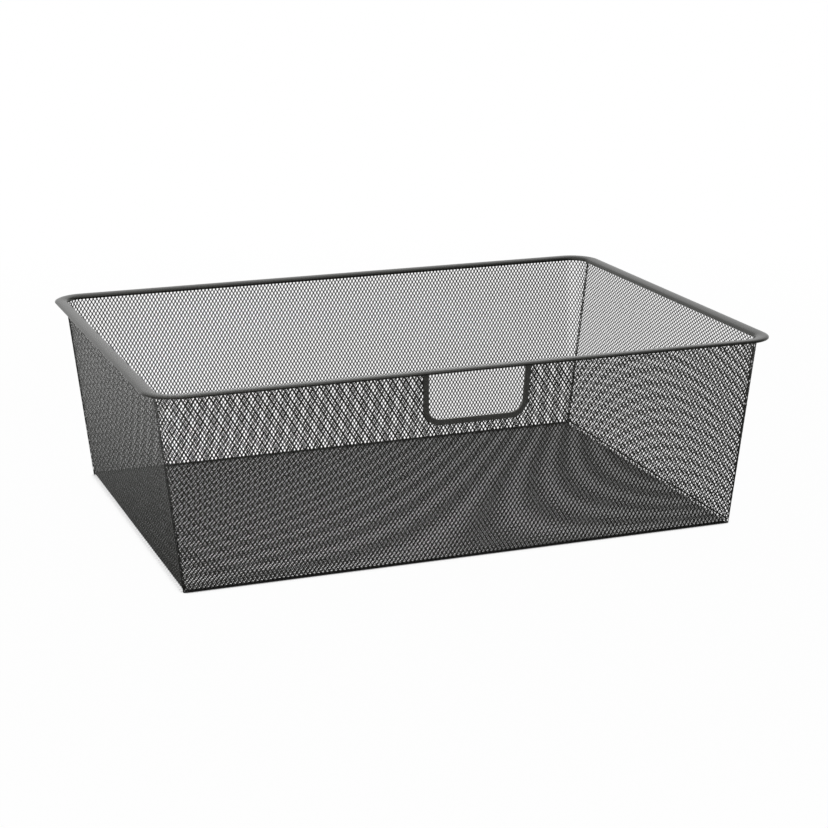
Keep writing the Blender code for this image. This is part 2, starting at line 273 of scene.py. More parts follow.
class BasketCoats(PropertyGroup):
    """Colours of the powder coats, and the dark edge colour that paints shade."""

    mesh_colour: colour_setting("Mesh", "Powder coat of the mesh", (0.066, 0.0665, 0.06))
    rim_colour: colour_setting("Rim", "Powder coat of the rim", (0.055, 0.0555, 0.05))
    trim_colour: colour_setting(
        "Trim", "Coat of the trim round the hand cut-out", (0.2, 0.2, 0.186)
    )
    # Painted shade: the edge colour darkens the plain strips along the sheets' edges to stand for
    # the shadow lines at creases, folds and seams
    edge_colour: colour_setting(
        "Edges", "Thin dark coat on the plain cut edges of the mesh", (0.025, 0.025, 0.024)
    )


class BasketLight(PropertyGroup):
    """Strengths of the studio light."""

    sky: FloatProperty(
        name="Surroundings",
        description="Light of the room on the basket, where 1 is white",
        default=0.7,
        min=0,
    )
    overhead: FloatProperty(
        name="Overhead panel",
        description="Power of the soft light over the basket",
        default=12,
        min=0,
        unit="POWER",
    )
    front: FloatProperty(
        name="Front panel",
        description="Power of the weak soft light at the front",
        default=3,
        min=0,
        unit="POWER",
    )


# Small helpers


def between(low, high, share):
    return low + (high - low) * share


def all_of(form):
    return form.verts[:] + form.edges[:] + form.faces[:]


def verts_of(geometry):
    return [item for item in geometry if isinstance(item, bmesh.types.BMVert)]


def edges_of(geometry):
    return [item for item in geometry if isinstance(item, bmesh.types.BMEdge)]


def finish_piece(form, name, material, node):
    """Turns a bmesh into a piece that rides on the part and stands for a node."""
    mesh = bpy.data.meshes.new(name)
    form.to_mesh(mesh)
    form.free()
    mesh.materials.append(material)
    piece = bpy.data.objects.new(name, mesh)
    bpy.context.scene.collection.objects.link(piece)
    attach(piece, "root")
    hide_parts(node)
    return piece


def finish_smooth(form, name, material, node):
    """Finishes a piece whose edges are smooth up to the sharp turn."""
    piece = finish_piece(form, name, material, node)
    piece.data.shade_smooth()
    piece.data.set_sharp_from_angle(angle=SHARP_TURN)


# Walls on their flat patterns


class Wall:
    """One wall, seen from outside: its flat pattern and the way it bends."""

    def __init__(self, turn, front, inset):
        widths = (FOOT_WIDTH, TOP_WIDTH) if front else (FOOT_DEPTH, TOP_DEPTH)
        depths = (FOOT_DEPTH, TOP_DEPTH) if front else (FOOT_WIDTH, TOP_WIDTH)
        radii = (FOOT_CORNER_RADIUS, TOP_CORNER_RADIUS)
        self.turn = np.array(Matrix.Rotation(turn, 3, "Z"))
        self.straights = [width / 2 - radius for width, radius in zip(widths, radii)]
        self.radii = [radius - inset for radius in radii]
        self.reaches = [depth / 2 - inset for depth in depths]
        self.slope = FRONT_SLOPE if front else SIDE_SLOPE
        self.length = WALL_TOP * self.slope

    def generator(self, share):
        """Where the corner has turned by a share, along the foot and along the top."""
        return [
            straight + radius * QUARTER * share
            for straight, radius in zip(self.straights, self.radii)
        ]

    def bend(self, along, up, deep):
        """Places in the basket for places on the flat pattern, some way into the sheet."""
        share = up / self.length
        straight = between(*self.straights, share)
        radius = between(*self.radii, share)
        centre = between(*self.reaches, share) - radius
        size = np.abs(along)
        flat = np.minimum(size, straight)
        turned = np.clip(size - straight, 0, radius * QUARTER)
        past = size - turned - flat
        turn = turned / radius
        radius = radius - deep * self.slope
        side = flat + radius * np.sin(turn)
        out = centre + radius * np.cos(turn) - past
        places = np.stack((np.copysign(side, along), -out, share * WALL_TOP), axis=1)
        return places @ self.turn.T


def fold_turn(lean):
    return asin(1 / hypot(1, lean))


def fold_setback(radius, lean):
    return radius * tan(fold_turn(lean) / 2)


class Fold:
    """Section of the floor sheet from its middle, over one fold and up the wall."""

    def __init__(self, reach, radius, lean):
        self.turn = fold_turn(lean)
        self.radius = radius
        self.start = reach - fold_setback(radius, lean)
        self.end = self.start + radius * self.turn

    def bend(self, distance, deep):
        size = np.abs(distance)
        turned = np.clip((size - self.start) / self.radius, 0, self.turn)
        past = np.maximum(size - self.end, 0)
        radius = self.radius - deep
        out = np.minimum(size, self.start) + radius * np.sin(turned) + past * cos(self.turn)
        height = self.radius - radius * np.cos(turned) + past * sin(self.turn)
        return np.copysign(out, distance), height


# Expanded mesh


def add_diamond(form, short, long, strand, sizes):
    """One opening with the half strands round it: a quarter, mirrored twice."""
    spacing = short * long / hypot(short, long)
    open_share = 1 - strand / spacing
    tip = long / 2 * open_share
    flat = short / 2 * open_share * (1 - sizes.bond / tip)
    places = [(short / 2, 0), (0, long / 2), (0, tip), (flat, sizes.bond), (flat, 0)]
    side, end, point, shoulder, middle = [form.verts.new((*place, 0)) for place in places]
    form.faces.new((side, end, point, shoulder))
    form.faces.new((side, shoulder, middle))
    for axis in "XY":
        bmesh.ops.mirror(
            form,
            geom=all_of(form),
            matrix=Matrix.Identity(4),
            merge_dist=MERGE,
            axis=axis,
        )
    middles = [edge for edge in form.edges if all(abs(v.co.y) < MERGE for v in edge.verts)]
    bmesh.ops.dissolve_edges(form, edges=middles, use_verts=True)
    for vert in form.verts:
        if abs(abs(vert.co.x) - flat) < MERGE:
            vert.co.z = -sizes.relief if vert.co.x > 0 else sizes.relief


def repeated(form, step, count):
    """Lays copies of everything in a row."""
    if count > 0:
        bmesh.ops.spin(
            form,
            geom=all_of(form),
            cent=(0, 0, 0),
            axis=UP,
            dvec=step,
            angle=0,
            steps=count,
            use_duplicate=True,
        )


def flat_net(low, high, short, long, strand, lengthwise, sizes):
    """A flat field of the mesh over a box, with the long way up, or across if lengthwise.

    Its openings keep step with the pattern's origin, so that neighbours match.
    """
    form = bmesh.new()
    add_diamond(form, short, long, strand, sizes)
    repeated(form, (short / 2, long / 2, 0), 1)
    across, upward = short, long
    if lengthwise:
        bmesh.ops.rotate(form, verts=form.verts[:], matrix=Matrix.Rotation(-QUARTER, 3, "Z"))
        across, upward = long, short
    column, row = floor(low[0] / across) - 1, floor(low[1] / upward) - 1
    bmesh.ops.translate(form, verts=form.verts[:], vec=(column * across, row * upward, 0))
    repeated(form, (across, 0, 0), ceil(high[0] / across) - column)
    repeated(form, (0, upward, 0), ceil(high[1] / upward) - row)
    bmesh.ops.remove_doubles(form, verts=form.verts[:], dist=MERGE)
    for face in form.faces:
        if face.normal.z < 0:
            face.normal_flip()
    return form


def cut(form, point, outward, faces=None):
    """Cuts the sheet along a line. Without a choice of faces, what is outward goes."""
    if faces is None:
        geometry = all_of(form)
    else:
        geometry = set(faces)
        for face in faces:
            geometry.update(face.edges)
            geometry.update(face.verts)
        geometry = list(geometry)
    found = bmesh.ops.bisect_plane(
        form,
        geom=geometry,
        dist=MERGE,
        plane_co=(*point, 0),
        plane_no=(*outward, 0),
        clear_outer=faces is None,
    )
    return [item for item in found["geom"] if isinstance(item, bmesh.types.BMFace)]


def cut_outline(form, corners):
    """Cuts the sheet along the sides of a convex outline that runs anticlockwise."""
    for start, end in zip(corners, corners[1:] + corners[:1]):
        along = Vector(end) - Vector(start)
        cut(form, start, (along.y, -along.x))


def cut_notch(form, corners):
    """Takes a convex notch, which runs anticlockwise, out of the sheet."""
    low = [min(corner[axis] for corner in corners) for axis in (0, 1)]
    high = [max(corner[axis] for corner in corners) for axis in (0, 1)]
    inside = [
        face
        for face in form.faces
        if all(any(v.co[a] > low[a] for v in face.verts) for a in (0, 1))
        and all(any(v.co[a] < high[a] for v in face.verts) for a in (0, 1))
    ]
    for start, end in zip(corners, corners[1:] + corners[:1]):
        along = Vector(end) - Vector(start)
        outward = Vector((along.y, -along.x)).normalized()
        pieces = cut(form, start, outward, inside)
        inside = [
            face
            for face in pieces
            if (face.calc_center_median().to_2d() - Vector(start)).dot(outward) < 0
        ]
    bmesh.ops.delete(form, geom=inside, context="FACES")


def side_lines(corners):
    """A point and the inward direction for each side of an anticlockwise outline."""
    lines = []
    for start, end in zip(corners, corners[1:] + corners[:1]):
        along = Vector(end) - Vector(start)
        lines.append((Vector(start), Vector((-along.y, along.x)).normalized()))
    return lines


def bordered(corners, width):
    """A plain strip inside an outline, as a mesh, and the corners that it leaves to the net."""
    form = bmesh.new()
    field = form.faces.new([form.verts.new((*corner, 0)) for corner in corners])
    # The strip takes the second material, dark painted shade along the sheet's edge
    field.material_index = EDGE_SHADE_SLOT
    field.normal_update()
    bmesh.ops.inset_region(
        form,
        faces=[field],
        thickness=width,
        use_boundary=True,
        use_even_offset=True,
    )
    inner = [tuple(vert.co.xy) for vert in field.verts]
    bmesh.ops.delete(form, geom=[field], context="FACES_ONLY")
    sides = [edge for edge in form.edges if edge.calc_length() > 2 * width]
    bmesh.ops.subdivide_edges(form, edges=sides, cuts=BORDER_CUTS)
    border = bpy.data.meshes.new("border")
    form.to_mesh(border)
    form.free()
    return border, inner


def add_border(form, border):
    """Adds the plain strip to its net."""
    form.from_mesh(border)
    for face in form.faces:
        if face.normal.z < 0:
            face.normal_flip()


def press_edges(form, corners):
    """Presses the relief of the mesh flatter near the sheet's edges."""
    lines = side_lines(corners)
    for vert in form.verts:
        if vert.co.z:
            inside = min((vert.co.xy - point).dot(inward) for point, inward in lines)
            vert.co.z *= min(max(inside / PRESSED_WIDTH, PRESSED_SHARE), 1)


def thicken(form, thickness, seams):
    """Gives the flat sheet its thickness. The seams between its pieces stay sharp."""
    made = bmesh.ops.extrude_face_region(form, geom=form.faces[:])
    bmesh.ops.translate(form, verts=verts_of(made["geom"]), vec=(0, 0, thickness))
    bmesh.ops.translate(form, verts=form.verts[:], vec=(0, 0, -thickness / 2))
    bmesh.ops.recalc_face_normals(form, faces=form.faces[:])
    for face in form.faces:
        face.smooth = True
    for seam in seams:
        for face in form.faces:
            if all(abs(vert.co.x - seam) < MERGE for vert in face.verts):
                face.smooth = False
                for edge in face.edges:
                    edge.smooth = False


def bent_piece(form, name, bend, material, node):
    """Bends the flat sheet into the basket and makes it a piece."""
    piece = finish_piece(form, name, material, node)
    mesh = piece.data
    # Second material: the edge coat, dark painted shade on the plain strips
    mesh.materials.append(bpy.data.materials["edge_coat"])
    places = np.empty(len(mesh.vertices) * 3, dtype=np.float32)
    mesh.vertices.foreach_get("co", places)
    along, up, height = places.reshape(-1, 3).astype(float).T
    bent = bend(along, up, SHEET / 2 - height)
    mesh.vertices.foreach_set("co", bent.astype(np.float32).ravel())
    mesh.update()


# Panels


def notch_turn():
    """The hand cut-out's foot, the centre of its right corner and the tilt of its sides."""
    foot = (HEIGHT - HEM_DROP) * FRONT_SLOPE - HANDLE_HEIGHT
    tilt = asin(HANDLE_DRAFT / hypot(1, HANDLE_DRAFT))
    side = HANDLE_FOOT_WIDTH / 2 + HANDLE_DRAFT * HANDLE_CORNER_RADIUS
    side -= HANDLE_CORNER_RADIUS * hypot(1, HANDLE_DRAFT)
    return foot, side, foot + HANDLE_CORNER_RADIUS, tilt


def notch_corners(margin, top):
    """The hand cut-out on the front wall's pattern, widened by a margin, anticlockwise."""
    _, side, centre_up, tilt = notch_turn()
    radius = HANDLE_CORNER_RADIUS + margin
    turns = [between(-QUARTER, -tilt, step / NOTCH_STEPS) for step in range(NOTCH_STEPS + 1)]
    right = [(side + radius * cos(turn), centre_up + radius * sin(turn)) for turn in turns]
    leg, height = right[-1]
    right.append((leg + (top - height) * HANDLE_DRAFT, top))
    return right + [(-along, up) for along, up in reversed(right)]


def end_panel(name, turn, short, long, strand, sizes, material, opening):
    """The front or back panel, in two pieces that meet in the middle."""
    wall = Wall(turn, True, 0)
    foot, top = wall.generator(1)
    whole = [(-foot, 0), (foot, 0), (top, wall.length), (-top, wall.length)]
    border, inner = bordered(whole, PANEL_BORDER)
    for side, outward, low, high in (("left", 1, -top, 0), ("right", -1, 0, top)):
        form = flat_net((low, 0), (high, wall.length), short, long, strand, False, sizes)
        cut_outline(form, inner)
        add_border(form, border)
        cut(form, (0, 0), (outward, 0))
        if opening:
            cut_notch(form, notch_corners(TRIM_OUTER, wall.length + OVERRUN))
        press_edges(form, whole)
        thicken(form, sizes.thickness, [0])
        bent_piece(form, f"{name}_net_{side}", wall.bend, material, f"{name}_mesh")
    bpy.data.meshes.remove(border)


def side_panel(name, turn, sizes, material):
    """A side wall of the U-shaped sheet with its tabs, in two pieces that meet in the middle."""
    wall = Wall(turn, False, LAP)
    low = fold_setback(FLOOR_FOLD_RADIUS, SIDE_LEAN)
    foot, top = wall.generator(0)
    foot = between(foot, top, low / wall.length) + TAB_WIDTH
    top += TAB_WIDTH
    corners = [(-foot, low), (foot, low), (top, wall.length), (-top, wall.length)]
    border, inner = bordered(corners, TRAY_BORDER)
    for count, (outward, start, end) in enumerate(((1, -top, 0), (-1, 0, top))):
        box = (start, low), (end, wall.length)
        form = flat_net(*box, sizes.tray_short, sizes.tray_long, sizes.strand, True, sizes)
        cut_outline(form, inner)
        add_border(form, border)
        cut(form, (0, 0), (outward, 0))
        press_edges(form, corners)
        thicken(form, sizes.thickness, [0])
        bent_piece(form, f"{name}_net_{count + 1}", wall.bend, material, f"{name}_mesh")
    bpy.data.meshes.remove(border)


def floor_panel(sizes, material):
    """The floor, seen from below, with a fold up each side and a tab up the front and the back."""
    sideways = Fold(FOOT_WIDTH / 2 - LAP, FLOOR_FOLD_RADIUS, SIDE_LEAN)
    endways = Fold(FOOT_DEPTH / 2 - LAP, TAB_FOLD_RADIUS, FRONT_LEAN)
    tab_half = FOOT_WIDTH / 2 - LAP - TAB_WIDTH - TAB_RELIEF
    tab_end = endways.start + TAB_WIDTH
    crease = FOOT_DEPTH / 2 - FOOT_CORNER_RADIUS
    raised = (sizes.thickness - SHEET) / 2 + sizes.relief

    def bend(along, forward, deep):
        out, rise = sideways.bend(along, deep)
        far, lift = endways.bend(forward, deep)
        return np.stack((out, -far, rise + lift - deep + raised), axis=1)

    half = sideways.end
    whole = [(-half, -tab_end), (half, -tab_end), (half, tab_end), (-half, tab_end)]
    border, inner = bordered(whole, TRAY_BORDER)
    seams = [-half + 2 * half * share / FLOOR_PIECES for share in range(FLOOR_PIECES + 1)]
    for count, (low, high) in enumerate(zip(seams, seams[1:])):
        box = (low, -tab_end), (high, tab_end)
        form = flat_net(*box, sizes.tray_short, sizes.tray_long, sizes.strand, False, sizes)
        cut_outline(form, inner)
        add_border(form, border)
        cut(form, (low, 0), (-1, 0))
        cut(form, (high, 0), (1, 0))
        for across, back in ((-1, -1), (1, -1), (1, 1), (-1, 1)):
            left, right = sorted((across * tab_half, across * (half + OVERRUN)))
            near, far = sorted((back * crease, back * (tab_end + OVERRUN)))
            if left < high and right > low:
                cut_notch(form, [(left, near), (right, near), (right, far), (left, far)])
        press_edges(form, whole)
        thicken(form, sizes.thickness, [low, high])
        bent_piece(form, f"floor_net_{count + 1}", bend, material, "floor_mesh")
    bpy.data.meshes.remove(border)


# Rim and trim


def rounded(form, verts, radius, steps):
    """Rounds corners of a flat section."""
    bmesh.ops.bevel(
        form,
        geom=verts,
        offset=radius,
        offset_type="OFFSET",
        segments=steps,
        profile=ARC_PROFILE,
        affect="VERTICES",
        material=-1,
    )


def section(form, corners, roundings, matrix):
    """A closed section, rounded at its corners and stood in its place. Returns its edges."""
    verts = [form.verts.new((*corner, 0)) for corner in corners]
    form.faces.new(verts)
    for numbers, radius, steps in roundings:
        rounded(form, [verts[number] for number in numbers], radius, steps)
    bmesh.ops.delete(form, geom=form.faces[:], context="FACES_ONLY")
    bmesh.ops.transform(form, verts=form.verts[:], matrix=matrix)
    return form.edges[:]


def pushed(form, edges, step):
    """Draws a section out along a straight line. Returns its edges at the end."""
    made = bmesh.ops.extrude_edge_only(form, edges=edges)
    bmesh.ops.translate(form, verts=verts_of(made["geom"]), vec=step)
    last = set(verts_of(made["geom"]))
    return [edge for edge in edges_of(made["geom"]) if set(edge.verts) <= last]


def turned(form, edges, centre, angle, steps):
    """Draws a section round an upright bend. Returns its edges at the end."""
    verts = list({vert for edge in edges for vert in edge.verts})
    made = bmesh.ops.spin(
        form,
        geom=verts + list(edges),
        cent=centre,
        axis=UP,
        angle=angle,
        steps=steps,
        use_duplicate=False,
    )
    return edges_of(made["geom_last"])


def rolled_rim(material):
    """The rolled profile, drawn round the basket and closed."""
    lean = (SIDE_LEAN + FRONT_LEAN) / 2
    shift = lean * (HEM_DROP - SLOT_ROOF)
    leaf = SLOT_OUTSIDE - HEM_LEAF
    corners = [
        (0, -FLANGE_THICKNESS),
        (leaf, -FLANGE_THICKNESS),
        (leaf + shift, -HEM_DROP),
        (SLOT_OUTSIDE + shift, -HEM_DROP),
        (SLOT_OUTSIDE, -HEM_ROOF),
        (SLOT_INSIDE, -HEM_ROOF),
        (SLOT_INSIDE + shift, -HEM_DROP),
        (RIM_INSIDE + shift, -HEM_DROP),
    ]
    crown = len(corners)
    corners += [(inward, -down) for inward, down, _ in RIM_CROWN]
    across = WIDTH / 2 - RIM_CORNER_RADIUS
    back = DEPTH / 2 - RIM_CORNER_RADIUS
    form = bmesh.new()
    roundings = [
        ((0,), RIM_NOSE_RADIUS, NOSE_STEPS),
        ((1,), HEM_FILLET, HEM_STEPS),
        ((2, 3, 6, 7), HEM_LEAF * NEARLY_HALF, HEM_STEPS),
    ]
    for number, (_, _, radius) in enumerate(RIM_CROWN):
        roundings.append(((crown + number,), radius, CROWN_STEPS))
    stood = Matrix(
        ((-1, 0, 0, WIDTH / 2), (0, 0, 1, -back), (0, 1, 0, HEIGHT), (0, 0, 0, 1))
    )
    edges = section(form, corners, roundings, stood)
    runs = (
        ((0, 2 * back, 0), (across, back, 0)),
        ((-2 * across, 0, 0), (-across, back, 0)),
        ((0, -2 * back, 0), (-across, -back, 0)),
        ((2 * across, 0, 0), (across, -back, 0)),
    )
    for step, centre in runs:
        edges = pushed(form, edges, step)
        edges = turned(form, edges, centre, QUARTER, RIM_BEND_STEPS)
    bmesh.ops.remove_doubles(form, verts=form.verts[:], dist=MERGE)
    bmesh.ops.recalc_face_normals(form, faces=form.faces[:])
    finish_smooth(form, "rolled_rim", material, "rim")


def cut_out_trim(material):
    """The U-section strip on the edge of the hand cut-out: half of it, then mirrored."""
    top = (HEIGHT - HEM_DROP - GAP) * FRONT_SLOPE - TRIM_WALL * FRONT_LEAN
    foot, side, centre_up, tilt = notch_turn()
    corners = [
        (0, -TRIM_OUTER),
        (0, TRIM_OUTER),
        (TRIM_DEPTH, TRIM_OUTER),
        (TRIM_DEPTH, TRIM_INNER),
        (TRIM_WALL, TRIM_INNER),
        (TRIM_WALL, -TRIM_INNER),
        (TRIM_DEPTH, -TRIM_INNER),
        (TRIM_DEPTH, -TRIM_OUTER),
    ]
    roundings = [
        ((0, 1), TRIM_OUTER * TRIM_ROUNDNESS, NOSE_STEPS),
        ((2, 3, 6, 7), TRIM_WALL * NEARLY_HALF, HEM_STEPS),
    ]
    form = bmesh.new()
    stood = Matrix(((0, 0, 1, 0), (-1, 0, 0, foot), (0, 1, 0, 0), (0, 0, 0, 1)))
    edges = section(form, corners, roundings, stood)
    edges = pushed(form, edges, (side, 0, 0))
    edges = turned(form, edges, (side, centre_up, 0), QUARTER - tilt, RIM_BEND_STEPS)
    end_up = centre_up - HANDLE_CORNER_RADIUS * sin(tilt)
    rise = top - end_up
    last = pushed(form, edges, (rise * HANDLE_DRAFT, rise, 0))
    bmesh.ops.holes_fill(form, edges=last, sides=0)
    bmesh.ops.mirror(
        form, geom=all_of(form), matrix=Matrix.Identity(4), merge_dist=MERGE, axis="X"
    )
    bmesh.ops.recalc_face_normals(form, faces=form.faces[:])
    wall = Wall(0, True, SHEET / 2)
    low, high = [Vector(wall.bend(*np.array([[0.0], [up], [0.0]]))[0]) for up in (0, top)]
    upward = (high - low).normalized()
    right = Vector((1, 0, 0))
    matrix = Matrix((right, upward, right.cross(upward))).transposed().to_4x4()
    matrix.translation = low
    form.transform(matrix)
    finish_smooth(form, "cut_out_trim", material, "handle_trim")


# Materials


def new_group(name, inputs, outputs):
    """A shader node group with its sockets. Returns the tree, its inputs and its outputs."""
    tree = bpy.data.node_groups.new(name, "ShaderNodeTree")
    for way, sockets in (("INPUT", inputs), ("OUTPUT", outputs)):
        for socket, kind in sockets.items():
            tree.interface.new_socket(socket, in_out=way, socket_type=f"NodeSocket{kind}")
    return tree, tree.nodes.new("NodeGroupInput"), tree.nodes.new("NodeGroupOutput")


def add_node(tree, kind, links=None, **settings):
    """A node with its settings and the sockets or values that feed its inputs."""
    node = tree.nodes.new(kind)
    for name, value in settings.items():
        setattr(node, name, value)
    for name, source in (links or {}).items():
        if isinstance(source, bpy.types.NodeSocket):
            tree.links.new(source, node.inputs[name])
        else:
            node.inputs[name].default_value = source
    return node


def reckoned(tree, operation, *sources):
    """The result of one step of arithmetic on sockets or numbers."""
    links = dict(enumerate(sources))
    return add_node(tree, "ShaderNodeMath", links, operation=operation).outputs[0]


def powder_coat_group():
    """Fine orange peel, cloudy tone and metal flecks of a baked powder coat."""
    tree, inner, outer = new_group(
        "powder_coat",
        {
            "Place": "Vector",
            "Colour": "Color",
            "Clouds": "Float",
            "Flecks": "Float",
            "Smoothest": "Float",
        },
        {"Colour": "Color", "Roughness": "Float", "Height": "Float"},
    )
    place, colour, clouds, flecks, smoothest = inner.outputs[:5]
    cloud = add_node(
        tree,
        "ShaderNodeTexNoise",
        {"Vector": place, "Scale": CLOUD_SCALE, "Detail": CLOUD_DETAIL},
    )
    cells = add_node(tree, "ShaderNodeTexVoronoi", {"Vector": place, "Scale": FLECK_SCALE})
    cell = add_node(tree, "ShaderNodeSeparateColor", {"Color": cells.outputs["Color"]})
    peel = add_node(
        tree,
        "ShaderNodeTexNoise",
        {"Vector": place, "Scale": PEEL_SCALE, "Detail": PEEL_DETAIL},
    )
    cloud_gain = reckoned(tree, "MULTIPLY", cloud.outputs["Fac"], clouds)
    fleck_gain = reckoned(tree, "MULTIPLY", cell.outputs["Red"], flecks)
    gain = reckoned(tree, "ADD", cloud_gain, fleck_gain)
    most = reckoned(tree, "ADD", clouds, flecks)
    base = reckoned(tree, "MULTIPLY_ADD", most, -1 / 2, 1)
    toned = add_node(
        tree,
        "ShaderNodeVectorMath",
        {0: colour, "Scale": reckoned(tree, "ADD", gain, base)},
        operation="SCALE",
    )
    rough = reckoned(tree, "MULTIPLY_ADD", peel.outputs["Fac"], ROUGHNESS_RANGE, smoothest)
    tree.links.new(toned.outputs[0], outer.inputs["Colour"])
    tree.links.new(rough, outer.inputs["Roughness"])
    tree.links.new(peel.outputs["Fac"], outer.inputs["Height"])
    return tree


def coat_material(name, colour, metallic, peel_height, clouds, flecks, smoothest):
    """A powder-coated steel in one colour."""
    group = bpy.data.node_groups.get("powder_coat") or powder_coat_group()
    material = bpy.data.materials.new(name)
    material.use_nodes = True
    tree = material.node_tree
    shader = tree.nodes["Principled BSDF"]
    shader.inputs["Metallic"].default_value = metallic
    shader.inputs["Specular IOR Level"].default_value = COAT_SPECULAR
    places = add_node(tree, "ShaderNodeTexCoord")
    coat = add_node(tree, "ShaderNodeGroup", node_tree=group)
    tree.links.new(places.outputs["Object"], coat.inputs["Place"])
    coat.inputs["Colour"].default_value = (*colour, 1)
    coat.inputs["Clouds"].default_value = clouds
    coat.inputs["Flecks"].default_value = flecks
    coat.inputs["Smoothest"].default_value = smoothest
    bump = add_node(
        tree,
        "ShaderNodeBump",
        {"Height": coat.outputs["Height"], "Distance": peel_height, "Strength": 1},
    )
    tree.links.new(coat.outputs["Colour"], shader.inputs["Base Color"])
    tree.links.new(coat.outputs["Roughness"], shader.inputs["Roughness"])
    tree.links.new(bump.outputs["Normal"], shader.inputs["Normal"])
    material.diffuse_color = (*colour, 1)


def seen_rays(tree):
    """One for the rays that reach the camera straight or by gloss, and otherwise nought."""
    path = add_node(tree, "ShaderNodeLightPath")
    seen = path.outputs["Is Camera Ray"]
    for ray in ("Is Glossy Ray", "Is Transmission Ray"):
        seen = reckoned(tree, "MAXIMUM", seen, path.outputs[ray])
    return seen


def studio_tone_group():
    """White towards the backdrop and the sides, and dim towards the end with the camera."""
    tree, inner, outer = new_group("studio_tone", {"Place": "Vector"}, {"Tone": "Float"})
    towards_camera = add_node(
        tree,
        "ShaderNodeVectorMath",
        {0: inner.outputs["Place"], 1: DIM_SIDE},
        operation="DOT_PRODUCT",
    )
    tone = add_node(
        tree,
        "ShaderNodeMapRange",
        {
            "Value": towards_camera.outputs["Value"],
            "From Min": DIM_FROM,
            "From Max": DIM_TO,
            "To Min": 1,
            "To Max": DIM_LEVEL,
        },
        interpolation_type="SMOOTHSTEP",
    )
    axes = add_node(tree, "ShaderNodeSeparateXYZ", {"Vector": inner.outputs["Place"]})
    sideways = reckoned(tree, "ABSOLUTE", axes.outputs["X"])
    windows = add_node(
        tree,
        "ShaderNodeMapRange",
        {"Value": sideways, "From Min": WINDOW_FROM, "From Max": WINDOW_TO},
    )
    brighter = reckoned(tree, "MAXIMUM", tone.outputs[0], windows.outputs[0])
    tree.links.new(brighter, outer.inputs["Tone"])
    return tree


def studio_tones(tree, place):
    """The studio's tone for reflections, and the tone with the camera's rays left white."""
    group = bpy.data.node_groups.get("studio_tone") or studio_tone_group()
    tone = add_node(tree, "ShaderNodeGroup", node_tree=group)
    tree.links.new(place, tone.inputs["Place"])
    path = add_node(tree, "ShaderNodeLightPath")
    seen = reckoned(tree, "MAXIMUM", tone.outputs["Tone"], path.outputs["Is Camera Ray"])
    return tone.outputs["Tone"], seen


def seen_white(tree, shader, share, strength):
    """Mixes white light into a shader for the rays that reach the camera or a mirror."""
    factor = reckoned(tree, "MULTIPLY", seen_rays(tree), share)
    white = add_node(tree, "ShaderNodeEmission", {"Color": WHITE, "Strength": strength})
    links = {"Fac": factor, 1: shader, 2: white.outputs[0]}
    return add_node(tree, "ShaderNodeMixShader", links)


# Stage


def ground():
    """A pale floor with painted shade from ambient occlusion under and near the basket, which
    shows the shadow there and is white further out.
    """
    form = bmesh.new()
    bmesh.ops.create_circle(
        form, cap_ends=True, segments=GROUND_SEGMENTS, radius=GROUND_RADIUS
    )
    bmesh.ops.translate(form, verts=form.verts[:], vec=(0, 0, -GROUND_DROP))
    mesh = bpy.data.meshes.new("studio_floor")
    form.to_mesh(mesh)
    form.free()
    disc = bpy.data.objects.new("studio_floor", mesh)
    bpy.context.scene.collection.objects.link(disc)
    material = bpy.data.materials.new("studio_floor")
    material.use_nodes = True
    tree = material.node_tree
    shader = tree.nodes["Principled BSDF"]
    shader.inputs["Roughness"].default_value = GROUND_ROUGHNESS
    shader.inputs["Specular IOR Level"].default_value = 0
    # Painted shade: ambient occlusion darkens the floor's colour and its white under and near the
    # basket
    close = add_node(tree, "ShaderNodeAmbientOcclusion", {"Distance": CONTACT_REACH})
    painted_contact_shade = add_node(
        tree,
        "ShaderNodeMapRange",
        {
            "Value": close.outputs["AO"],
            "From Min": CONTACT_CLOSED,
            "From Max": CONTACT_OPEN,
            "To Min": CONTACT_DARK,
            "To Max": 1,
        },
    )
    tone = add_node(
        tree,
        "ShaderNodeVectorMath",
        {0: GROUND_COLOUR, "Scale": painted_contact_shade.outputs[0]},
        operation="SCALE",
    )
    tree.links.new(tone.outputs[0], shader.inputs["Base Color"])
    places = add_node(tree, "ShaderNodeTexCoord")
    reach = add_node(
        tree, "ShaderNodeVectorMath", {0: places.outputs["Object"]}, operation="LENGTH"
    )
    share = add_node(
        tree,
        "ShaderNodeMapRange",
        {
            "Value": reach.outputs["Value"],
            "From Min": SHADOW_REACH,
            "From Max": WHITE_REACH,
            "To Min": GROUND_WHITE,
            "To Max": 1,
        },
    )
    seen = studio_tones(tree, places.outputs["Object"])[1]
    strength = reckoned(tree, "MULTIPLY", painted_contact_shade.outputs[0], seen)
    mixed = seen_white(tree, shader.outputs[0], share.outputs[0], strength)
    tree.links.new(mixed.outputs[0], tree.nodes["Material Output"].inputs["Surface"])
    mesh.materials.append(material)


def surroundings(strength):
    """Plain light from all round, which the camera sees white.

    Reflections see it white too, except towards the dim end, where the camera stands.
    """
    world = bpy.data.worlds.new("studio_room")
    world.use_nodes = True
    tree = world.node_tree
    room = tree.nodes["Background"]
    room.inputs["Color"].default_value = WHITE
    places = add_node(tree, "ShaderNodeTexCoord")
    tone, seen = studio_tones(tree, places.outputs["Generated"])
    tree.links.new(reckoned(tree, "MULTIPLY", tone, strength), room.inputs["Strength"])
    white = add_node(tree, "ShaderNodeBackground", {"Color": WHITE, "Strength": seen})
    mixed = add_node(
        tree,
        "ShaderNodeMixShader",
        {"Fac": seen_rays(tree), 1: room.outputs[0], 2: white.outputs[0]},
    )
    tree.links.new(mixed.outputs[0], tree.nodes["World Output"].inputs["Surface"])
    bpy.context.scene.world = world


